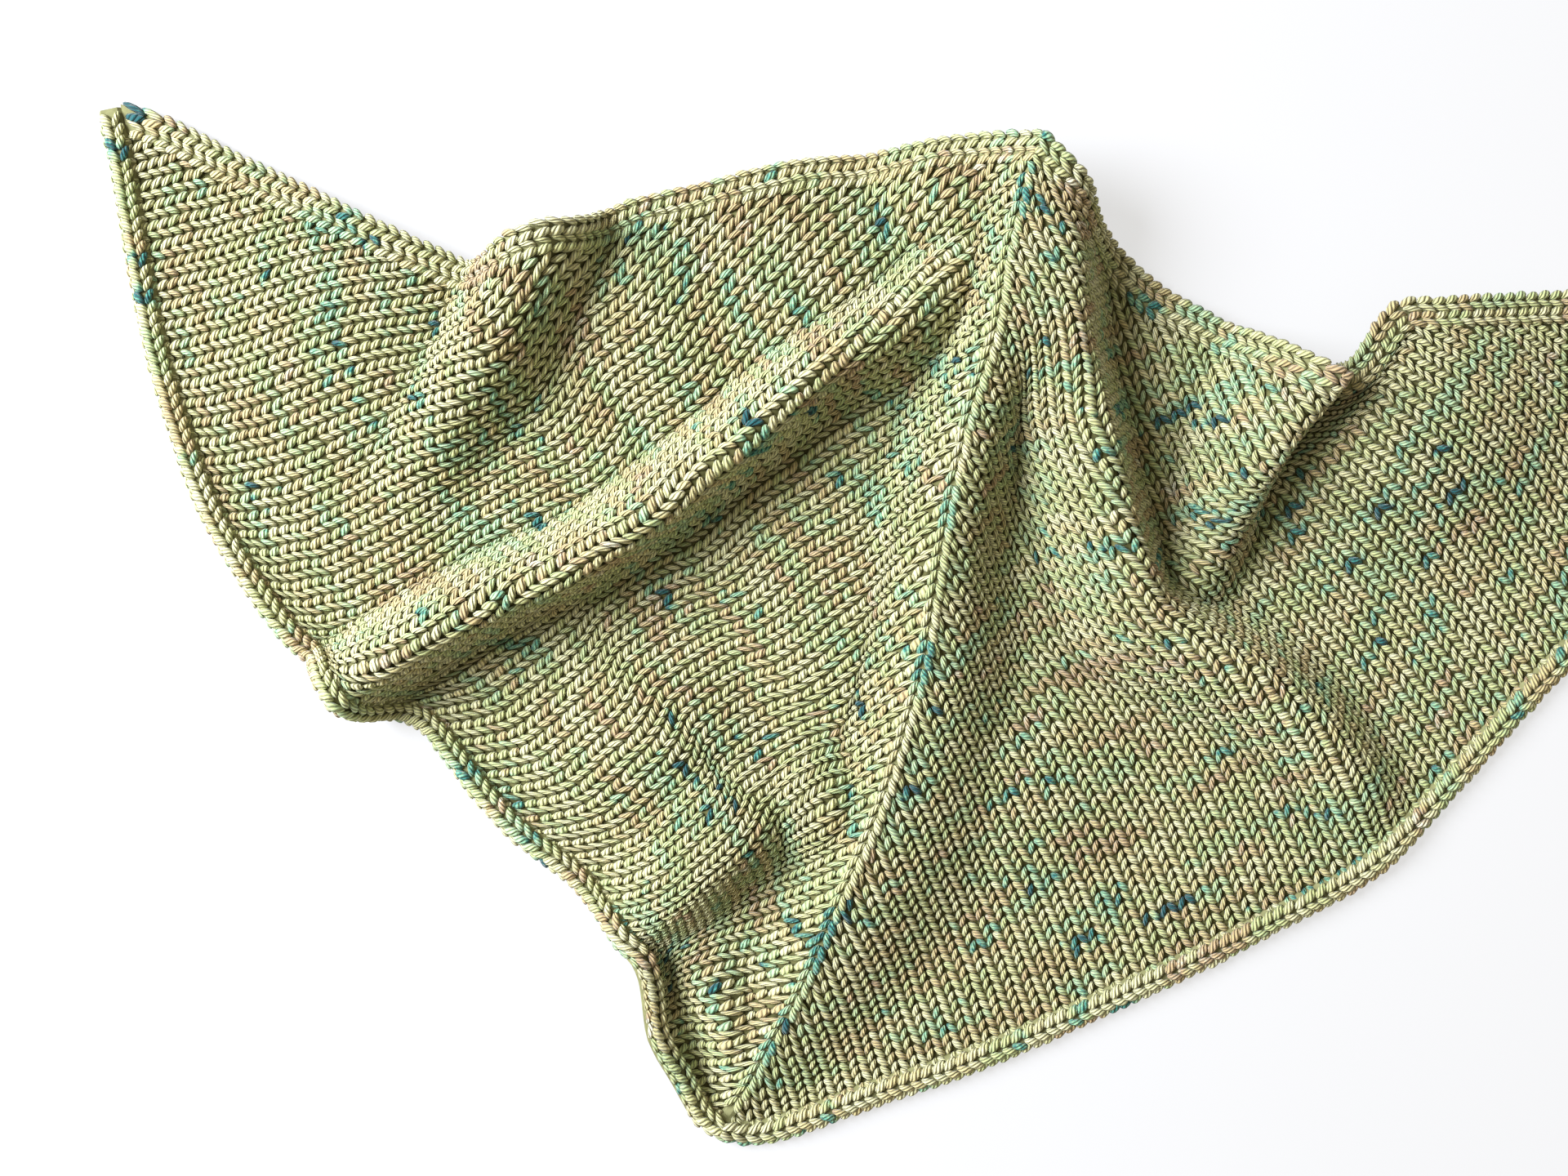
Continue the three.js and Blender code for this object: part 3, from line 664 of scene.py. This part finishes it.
# %% Yarn material
def yarn_material(name, shade_strength, turns):
    material = bpy.data.materials.new(name)
    material.use_nodes = True
    nodes, links = material.node_tree.nodes, material.node_tree.links
    shader = nodes["Principled BSDF"]
    shader.inputs["Roughness"].default_value = 0.85
    shader.inputs["Specular IOR Level"].default_value = 0.25
    shader.inputs["Sheen Weight"].default_value = 0.25
    shader.inputs["Sheen Roughness"].default_value = 0.5
    strands = nodes.new("ShaderNodeGroup")
    strands.node_tree = plies_and_shade
    strands.inputs["Turns"].default_value = turns
    colour = nodes.new("ShaderNodeGroup")
    colour.node_tree = dyed
    # How strongly the painted shade darkens the dye colour.
    colour.inputs["Depth"].default_value = shade_strength
    links.new(strands.outputs["Painted shade"], colour.inputs["Painted shade"])
    links.new(colour.outputs["Color"], shader.inputs["Base Color"])
    bump = nodes.new("ShaderNodeBump")
    bump.inputs["Distance"].default_value = 0.0005
    links.new(strands.outputs["Height"], bump.inputs["Height"])
    links.new(bump.outputs["Normal"], shader.inputs["Normal"])
    return material


field_yarn = yarn_material("field yarn", 0.62, 2.5)
spine_yarn = yarn_material("spine yarn", 0.7, 3.2)
neck_yarn = yarn_material("neck yarn", 0.68, 2.9)
cord_yarn = yarn_material("cord yarn", 0.66, 3.1)

# %% [markdown]
# ## The cloth under the stitches
#
# Between the legs of the stitches one sees the back loops, which lie in shade. A thin cloth
# with the same surface stands for them; its colour is the yarn's, darkened as painted shade.
# It is a plain grid whose points are moved onto the laid surface, and Solidify gives it a real
# wall, so that the underside is closed too.

# %% Ground material: purl bumps on the back, in painted shade
shaded_ground_yarn = bpy.data.materials.new("back loops in painted shade")
shaded_ground_yarn.use_nodes = True
nodes, links = shaded_ground_yarn.node_tree.nodes, shaded_ground_yarn.node_tree.links
shader = nodes["Principled BSDF"]
shader.inputs["Roughness"].default_value = 0.95
shader.inputs["Specular IOR Level"].default_value = 0.1
uv = nodes.new("ShaderNodeUVMap")
uv.uv_map = "rows"
loops = nodes.new("ShaderNodeTexVoronoi")
loops.inputs["Scale"].default_value = 1
links.new(uv.outputs[0], loops.inputs["Vector"])
# The ramp paints shade: each purl bump is lighter in its middle and darker in the creases at its
# edge.
tint = nodes.new("ShaderNodeValToRGB")
tint.color_ramp.elements[0].color = tone("#77754c")
tint.color_ramp.elements[1].color = tone("#3f3e22")
links.new(loops.outputs["Distance"], tint.inputs["Fac"])
links.new(tint.outputs["Color"], shader.inputs["Base Color"])
bump = nodes.new("ShaderNodeBump")
bump.invert = True
bump.inputs["Distance"].default_value = 0.0006
links.new(loops.outputs["Distance"], bump.inputs["Height"])
links.new(bump.outputs["Normal"], shader.inputs["Normal"])


# %% Ground cloth of one half
def lay_half(side):
    spots, normals = sheets[side]

    def place(p, q, height):
        q = np.maximum(q, 1.0)
        down = q / HALF_DEPTH
        across = (p / q + SPINE_SLOPE) / (SPINE_SLOPE + NECK_SLOPE)
        normal = unit(read(normals, np.clip(down, 0, 1), np.clip(across, 0, 1)))
        return read(spots, down, across) + normal * height[..., None]

    return place


GROUND_START = 0.006
GROUND_FROM_SPINE = 1.6
GROUND_PAST_NECK = 1.2


def ground_cloth(side):
    tall, wide = 76, 96
    bm = bmesh.new()
    uv_layer = bm.loops.layers.uv.new("rows")
    bmesh.ops.create_grid(bm, x_segments=wide, y_segments=tall, size=1)
    bm.verts.ensure_lookup_table()
    x = np.array([v.co.x for v in bm.verts])
    y = np.array([v.co.y for v in bm.verts])
    q = HALF_DEPTH * (GROUND_START + (y + 1) / 2)
    inner = -q * SPINE_SLOPE + np.minimum(GROUND_FROM_SPINE, 0.5 * q)
    outer = q * NECK_SLOPE + GROUND_PAST_NECK
    p = inner + (np.maximum(outer, inner + 0.5) - inner) * (x + 1) / 2
    spots = (lay_half(side)(p, q, np.full(len(p), 0.1)) - CENTRE) * MM
    for v, spot in zip(bm.verts, spots):
        v.co = spot
    for face in bm.faces:
        for loop in face.loops:
            index = loop.vert.index
            loop[uv_layer].uv = (p[index] / STITCH_WIDTH * 2, q[index] / ROW_HEIGHT)
    bmesh.ops.recalc_face_normals(bm, faces=bm.faces[:])
    bm.normal_update()
    if sum(face.normal.z for face in bm.faces) < 0:
        bmesh.ops.reverse_faces(bm, faces=bm.faces[:])
    mesh = bpy.data.meshes.new("ground_" + side)
    bm.to_mesh(mesh)
    bm.free()
    mesh.shade_smooth()
    mesh.materials.append(shaded_ground_yarn)
    cloth = bpy.data.objects.new("ground_" + side, mesh)
    bpy.context.collection.objects.link(cloth)
    wall = cloth.modifiers.new("wall", "SOLIDIFY")
    wall.thickness = MM
    wall.offset = 1
    return own(cloth, "field_yarn", side + "_half")


# %% [markdown]
# ## Field stitches
#
# Plain stocking stitch: 76 rows of V columns in each half. A column stands wherever its place
# lies between the spine and the neck edge, so rows grow longer toward the lower edge. One row
# more is knitted than the half is deep, and it tucks in under the cord. Legs that would touch
# the spine or stand past the neck edge are left out.

# %% Knit both halves
FIRST_COLUMN, LAST_COLUMN = -40, 34
CLEAR_OF_SPINE = 1.4
PAST_NECK = 0.7
UPPER_SHARE = 0.7


def from_edges(p, q):
    from_spine = (p + q * SPINE_SLOPE) * math.cos(SPINE_ANGLE)
    from_neck = (q * NECK_SLOPE - p) * math.cos(NECK_ANGLE)
    return from_spine, from_neck


def field(hand):
    rows = []
    for row in range(ROWS + 1):
        q = (row + 0.5) * ROW_HEIGHT
        reach = np.arange(FIRST_COLUMN, LAST_COLUMN) * STITCH_WIDTH + STITCH_WIDTH / 2
        from_spine, from_neck = from_edges(reach, q)
        p = reach[(from_spine > 0.2) & (from_neck > -2 * PAST_NECK)]
        rows.append(np.column_stack([p, np.full(len(p), q)])[::1 if row % 2 else -1])
    p, q = np.vstack(rows).T
    legs = stitch_legs(p, q, hand, forward=1, half=2.8, span=3.9, low=1.55, top=1.95, end=0.9,
                       wide=0.88, thick=0.86)
    from_spine, from_neck = from_edges(*((legs["base"] + legs["far"]) / 2).T)
    return chosen(legs, (from_spine > CLEAR_OF_SPINE) & (from_neck > -PAST_NECK))


for side, hand in (("left", -1), ("right", 1)):
    ground = ground_cloth(side)
    legs = field(hand)
    upper = legs["base"][:, 1] < HALF_DEPTH * UPPER_SHARE
    for part, keep in (("upper", upper), ("lower", ~upper)):
        piece = knit(f"stitches_{side}_{part}", chosen(legs, keep), lay_half(side), hand,
                     field_yarn)
        own(piece, "field_yarn", side + "_half")

# %% [markdown]
# ## Strips along a line
#
# The spine, the neck band and the bind-off cord all follow a line on the cloth. A strip is
# that line with an outward direction and a normal at each place. Their stitches are laid by
# the length along the strip (q), the distance outward (p) and the height.

# %% Strip helpers
def strip_along(points, normals, hand, rounds=12):
    run = runs_along(points)
    outward = unit(hand * np.cross(normals, run))
    for _ in range(rounds):
        for arrows in (outward, normals):
            arrows[1:-1] = unit(arrows[:-2] + 2 * arrows[1:-1] + arrows[2:])
    travelled = np.r_[0, np.cumsum(np.linalg.norm(np.diff(points, axis=0), axis=1))]
    return {"points": points, "outward": outward, "normals": normals, "at": travelled}


def on_strip(strip, p, q, height, offset=0.0):
    def along(values):
        return np.stack([np.interp(q, strip["at"], values[:, k]) for k in range(3)], axis=-1)

    outward, normal = along(strip["outward"]), unit(along(strip["normals"]))
    return along(strip["points"]) + outward * (p + offset)[..., None] + normal * height[..., None]


def core(name, strip, section, offset, material, slot, node, step=2.5, margins=(0, 0)):
    length = strip["at"][-1]
    count = int((length - sum(margins)) / step)
    sides = len(section)
    bm = bmesh.new()
    bmesh.ops.create_grid(bm, x_segments=sides, y_segments=count, size=1)
    x = np.array([v.co.x for v in bm.verts])
    y = np.array([v.co.y for v in bm.verts])
    k = np.rint((x + 1) / 2 * sides).astype(int) % sides
    p, height = np.asarray(section, float)[k].T
    q = margins[0] + (length - sum(margins)) * (y + 1) / 2
    spots = (on_strip(strip, p, q, height, offset) - CENTRE) * MM
    spots[:, 2] = np.maximum(spots[:, 2], 0.0001)
    for v, spot in zip(bm.verts, spots):
        v.co = spot
    bmesh.ops.remove_doubles(bm, verts=bm.verts[:], dist=1e-6)
    bmesh.ops.holes_fill(bm, edges=[e for e in bm.edges if e.is_boundary], sides=0)
    bmesh.ops.recalc_face_normals(bm, faces=bm.faces[:])
    mesh = bpy.data.meshes.new(name)
    bm.to_mesh(mesh)
    bm.free()
    mesh.materials.append(material)
    piece = bpy.data.objects.new(name, mesh)
    bpy.context.collection.objects.link(piece)
    print(name, "core,", round(length), "mm long")
    return own(piece, slot, node)


# %% Material of the cores
core_yarn = bpy.data.materials.new("inner loops")
core_yarn.use_nodes = True
nodes, links = core_yarn.node_tree.nodes, core_yarn.node_tree.links
shader = nodes["Principled BSDF"]
shader.inputs["Roughness"].default_value = 0.95
shader.inputs["Specular IOR Level"].default_value = 0.1
place = nodes.new("ShaderNodeTexCoord")
noise = nodes.new("ShaderNodeTexNoise")
noise.inputs["Scale"].default_value = 350
links.new(place.outputs["Object"], noise.inputs["Vector"])
tint = nodes.new("ShaderNodeValToRGB")
tint.color_ramp.elements[0].color = tone("#5a5933")
tint.color_ramp.elements[1].color = tone("#a3a277")
links.new(noise.outputs["Fac"], tint.inputs["Fac"])
links.new(tint.outputs["Color"], shader.inputs["Base Color"])


# %% Edge line read from a sheet
EDGE_STEPS = 110


def edge_of(side, across, start=1.0, stop=0.03, count=EDGE_STEPS):
    spots, normals = sheets[side]
    down = np.linspace(start, stop, count)
    share = np.full(count, float(across))
    return read(spots, down, share), unit(read(normals, down, share))


# %% [markdown]
# ## Spine
#
# The spine is one chain of long stitches that stands on the ridge between the halves. It runs
# from the neck centre to the bottom corner.

# %% Spine chain
points, normals = edge_of("left", 0, 0.0, 1.0, 150)
spine = strip_along(points, normals, 1, rounds=4)
SPINE_SECTION = [(-2.2, 0.1), (2.2, 0.1), (2.2, 0.9), (0.9, 1.5), (-0.9, 1.5), (-2.2, 0.9)]
core("spine_core", spine, SPINE_SECTION, 0, core_yarn, "spine_yarn", "spine_column")
SPINE_PITCH = 4.03
q = np.arange(1.0, spine["at"][-1] - 1.0, SPINE_PITCH)
legs = stitch_legs(np.zeros(len(q)), q, 1, forward=1, half=2.4, span=4.9, low=1.9, top=2.45,
                   end=1.3, wide=1.0, thick=0.9, bias=-0.14)
chain = knit("spine_chain", legs, lambda p, q, h: on_strip(spine, p, q, h), 1, spine_yarn)
own(chain, "spine_yarn", "spine_column")

# %% [markdown]
# ## Neck band
#
# The band has two columns of stitches that follow the neck edge. Their V shapes point to the
# neck centre from both sides, because the knitting grew outward from there.

# %% Neck band
left_edge = edge_of("left", 1)
right_edge = edge_of("right", 1, 0.03, 1.0)
centre_spot = sheets["left"][0][:1, -1], sheets["left"][1][:1, -1]
points = np.vstack([left_edge[0], centre_spot[0], right_edge[0]])
normals = np.vstack([left_edge[1], centre_spot[1], right_edge[1]])
neck = strip_along(points, normals, 1, rounds=14)
TIP_STRETCH = 1 / math.sin(math.radians(64))
for tip, inward, side in ((0, 1, "left"), (-1, -1, "right")):
    low_edge = sheets[side][0][-1]
    beyond = unit(low_edge[-1] - low_edge[-5]) * TIP_STRETCH
    for step in range(3):
        k = tip + inward * step
        neck["outward"][k] += (beyond - neck["outward"][k]) * (1 - step / 3)
centre_q = neck["at"][EDGE_STEPS]
NECK_SECTION = [(0.0, 0.1), (7.6, 0.1), (8.3, 1.0), (7.9, 2.5), (0.4, 2.0), (-0.5, 1.0)]
core("neck_core", neck, NECK_SECTION, SEAM_GAP, core_yarn, "neck_yarn", "neck_edge")
NECK_PITCH = 3.73
NECK_COLUMNS = ((1.9, -0.35), (6.5, 0.2))  # middle of the column, lift of its stitches
parts = []
for forward in (1, -1):
    room = neck["at"][-1] - centre_q if forward > 0 else centre_q
    steps = np.arange(1.5, room - 0.3, NECK_PITCH)
    for middle, lift in NECK_COLUMNS:
        q = centre_q + forward * steps
        p = np.full(len(q), middle)
        parts.append(stitch_legs(p, q, 1, forward, half=2.5, span=4.4, low=2.7 + lift,
                                 top=3.1 + lift, end=2.1 + lift, wide=1.05, thick=0.95,
                                 bias=0.03))
legs = {key: np.concatenate([part[key] for part in parts]) for key in parts[0]}
band = knit("neck_stitches", legs, lambda p, q, h: on_strip(neck, p, q, h, SEAM_GAP), 1,
            neck_yarn)
own(band, "neck_yarn", "neck_edge")

# %% [markdown]
# ## Bind-off cord
#
# The lower edges end in a knitted cord. It shows one full column of stitches on top and half a
# column rolled down its outer side. It runs on past both wingtips, over the end of the band.

# %% Bind-off cord
left_low = sheets["left"][0][-1, ::-1], sheets["left"][1][-1, ::-1]
right_low = sheets["right"][0][-1, 1:], sheets["right"][1][-1, 1:]
points = np.vstack([left_low[0], right_low[0]])
normals = np.vstack([left_low[1], right_low[1]])
TIP_REACH = np.array([8.7, 5.8, 2.9])[:, None]
before, after = unit(points[0] - points[4]), unit(points[-1] - points[-5])
points = np.vstack([points[0] + before * TIP_REACH, points,
                    points[-1] + after * TIP_REACH[::-1]])
normals = np.vstack([np.repeat(normals[:1], 3, 0), normals, np.repeat(normals[-1:], 3, 0)])
cord = strip_along(points, normals, -1, rounds=14)
corner_q = cord["at"][3 + FINE_ACROSS]
CORD_SECTION = [(-0.4, 0.1), (5.8, 0.1), (6.5, 1.2), (5.4, 3.1), (0.6, 2.8), (-0.8, 1.4)]
core("cord_core", cord, CORD_SECTION, SEAM_GAP, core_yarn, "cord_yarn", "bind_off")
CORD_PITCH = 3.5
CORD_MIDDLE = 2.9
OUTER_MIDDLE = 6.9
OUTER_AHEAD = 1.7
parts = []
for forward in (1, -1):
    room = cord["at"][-1] - corner_q if forward > 0 else corner_q
    steps = np.arange(1.5, room - 1, CORD_PITCH)
    q = corner_q + forward * steps
    parts.append(stitch_legs(np.full(len(q), CORD_MIDDLE), q, -1, forward, half=2.9, span=4.5,
                             low=3.5, top=3.9, end=2.8, wide=1.15, thick=1.05, bias=0.05))
    outer = stitch_legs(np.full(len(q), OUTER_MIDDLE), q + OUTER_AHEAD, -1, forward, half=2.2,
                        span=4.4, low=2.4, top=2.6, end=1.6, wide=1.1, thick=1.0, bias=0.05)
    inside = outer["far"][:, 0] < OUTER_MIDDLE
    parts.append(chosen(outer, inside))
legs = {key: np.concatenate([part[key] for part in parts]) for key in parts[0]}
bind_off = knit("cord_stitches", legs, lambda p, q, h: on_strip(cord, p, q, h, SEAM_GAP), -1,
                cord_yarn)
own(bind_off, "cord_yarn", "bind_off")

# %% [markdown]
# ## Table and light
#
# The table is plain and white. The light is soft and comes from the upper left, so every fold
# is bright on its left flank and dark on its right one. A round area light 0.68 m wide stands
# for a window, and the world adds a warm, weak fill. The table also glows a little, which keeps
# it as white as in the photo.

# %% Table
bm = bmesh.new()
bmesh.ops.create_grid(bm, x_segments=1, y_segments=1, size=3)
bmesh.ops.translate(bm, vec=(0, 0, -0.0002), verts=bm.verts)
mesh = bpy.data.meshes.new("table_top")
bm.to_mesh(mesh)
bm.free()
table_top = bpy.data.objects.new("table_top", mesh)
bpy.context.collection.objects.link(table_top)
white = bpy.data.materials.new("white table")
white.use_nodes = True
shader = white.node_tree.nodes["Principled BSDF"]
shader.inputs["Base Color"].default_value = (0.22, 0.22, 0.23, 1)
shader.inputs["Roughness"].default_value = 0.9
shader.inputs["Specular IOR Level"].default_value = 0.0
shader.inputs["Emission Color"].default_value = (1, 1, 1, 1)
shader.inputs["Emission Strength"].default_value = 0.66
mesh.materials.append(white)


# %% Light
key = bpy.data.lights.new("window", "AREA")
key.shape = "DISK"
key.size = 0.68
key.energy = 33.5
key.color = (0.89, 0.935, 1.0)
window = bpy.data.objects.new("window", key)
window.location = (-0.87, 0.25, 0.69)
window.rotation_euler = window.location.to_track_quat("Z", "Y").to_euler()
bpy.context.collection.objects.link(window)
world = bpy.data.worlds.new("soft room")
world.use_nodes = True
room = world.node_tree.nodes["Background"]
room.inputs["Color"].default_value = (1.0, 0.9, 0.72, 1)
room.inputs["Strength"].default_value = 0.36
bpy.context.scene.world = world
print("window light, W:", round(key.energy, 1))
